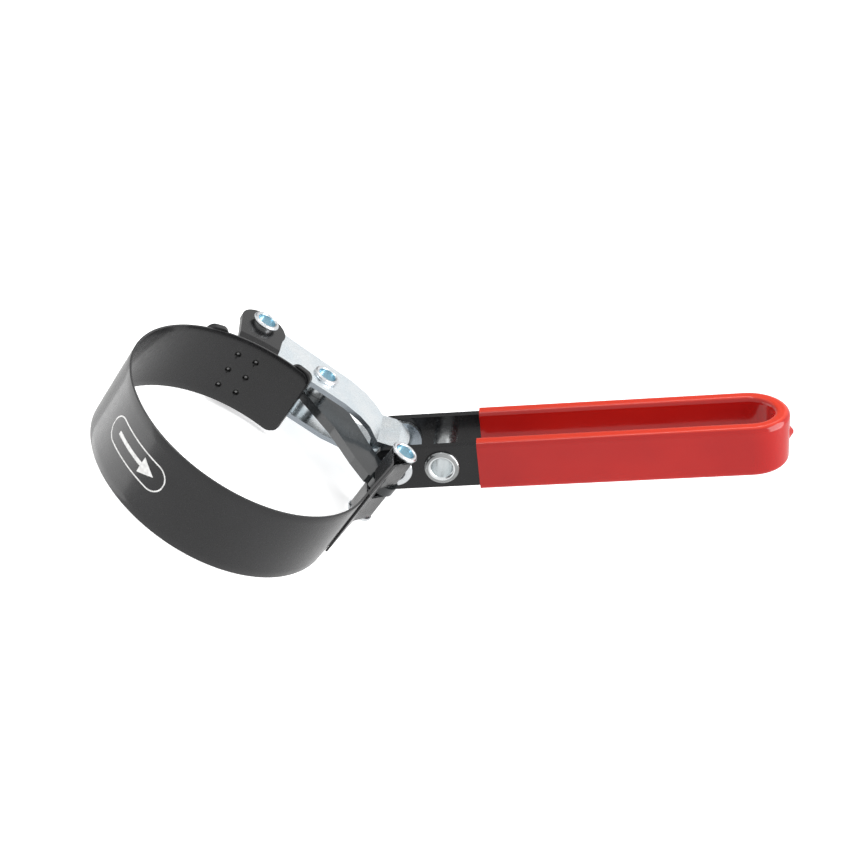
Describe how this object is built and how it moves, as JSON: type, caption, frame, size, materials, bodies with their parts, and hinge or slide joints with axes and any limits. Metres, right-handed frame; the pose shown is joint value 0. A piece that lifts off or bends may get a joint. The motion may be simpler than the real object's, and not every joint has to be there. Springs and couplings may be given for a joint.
{
  "type": "oil filter wrench",
  "caption": "Strap oil filter wrench: a spring-steel band tightened by a pivoted yoke and link, with a swivelling U-shaped handle in a red dipped grip.",
  "frame": {"origin": "centre of the band's round, halfway up its width", "axes": "+Z along the band's axis, +X from the band's centre towards the handle's end of the tool, +Y towards the staked bracket"},
  "size_m": [0.2258, 0.1208, 0.1183],
  "materials": {
    "strap": "satin",
    "black_steel": "gloss",
    "zinc": "satin",
    "vinyl": "gloss"
  },
  "bodies": {
    "band": {"band_anchor_half": "strap", "anchor_bracket": "black_steel", "stake_rivets": "strap", "anchor_pin": "zinc"},
    "band_tail": {"band_loop_half": "strap", "loop_pin": "zinc"},
    "link": {"tension_link": "black_steel"},
    "yoke": {"yoke_upper": "zinc", "yoke_lower": "zinc", "anchor_spacer": "zinc", "link_pin": "zinc", "link_spacer_upper": "zinc", "link_spacer_lower": "zinc", "swivel_spacer": "zinc"},
    "handle": {"handle_bar": "black_steel", "grip": "vinyl", "hanging_eyelet": "zinc", "swivel_pin": "zinc"}
  },
  "joints": [
    {"name": "lever_turn", "type": "hinge", "parent": "band", "child": "yoke", "pos_m": [-0.0095, 0.0662, 0], "axis": [0, 0, 1], "range_deg": [0, 25]},
    {"name": "band_flex", "type": "hinge", "parent": "band", "child": "band_tail", "pos_m": [-0.0454, 0, 0], "axis": [0, 0, 1], "range_deg": [0, 5.6]},
    {"name": "link_turn", "type": "hinge", "parent": "band_tail", "child": "link", "pos_m": [0.0559, 0.0308, 0], "axis": [0, 0, 1], "range_deg": [-12, 0]},
    {"name": "handle_swivel", "type": "hinge", "parent": "yoke", "child": "handle", "pos_m": [0.0601, 0.0571, 0], "axis": [0, -1, 0], "range_deg": [-125, 50]}
  ],
  "couplings": [
    {"joint": "band_flex", "follows": "lever_turn", "ratio": 0.22},
    {"joint": "link_turn", "follows": "lever_turn", "ratio": -0.47}
  ]
}
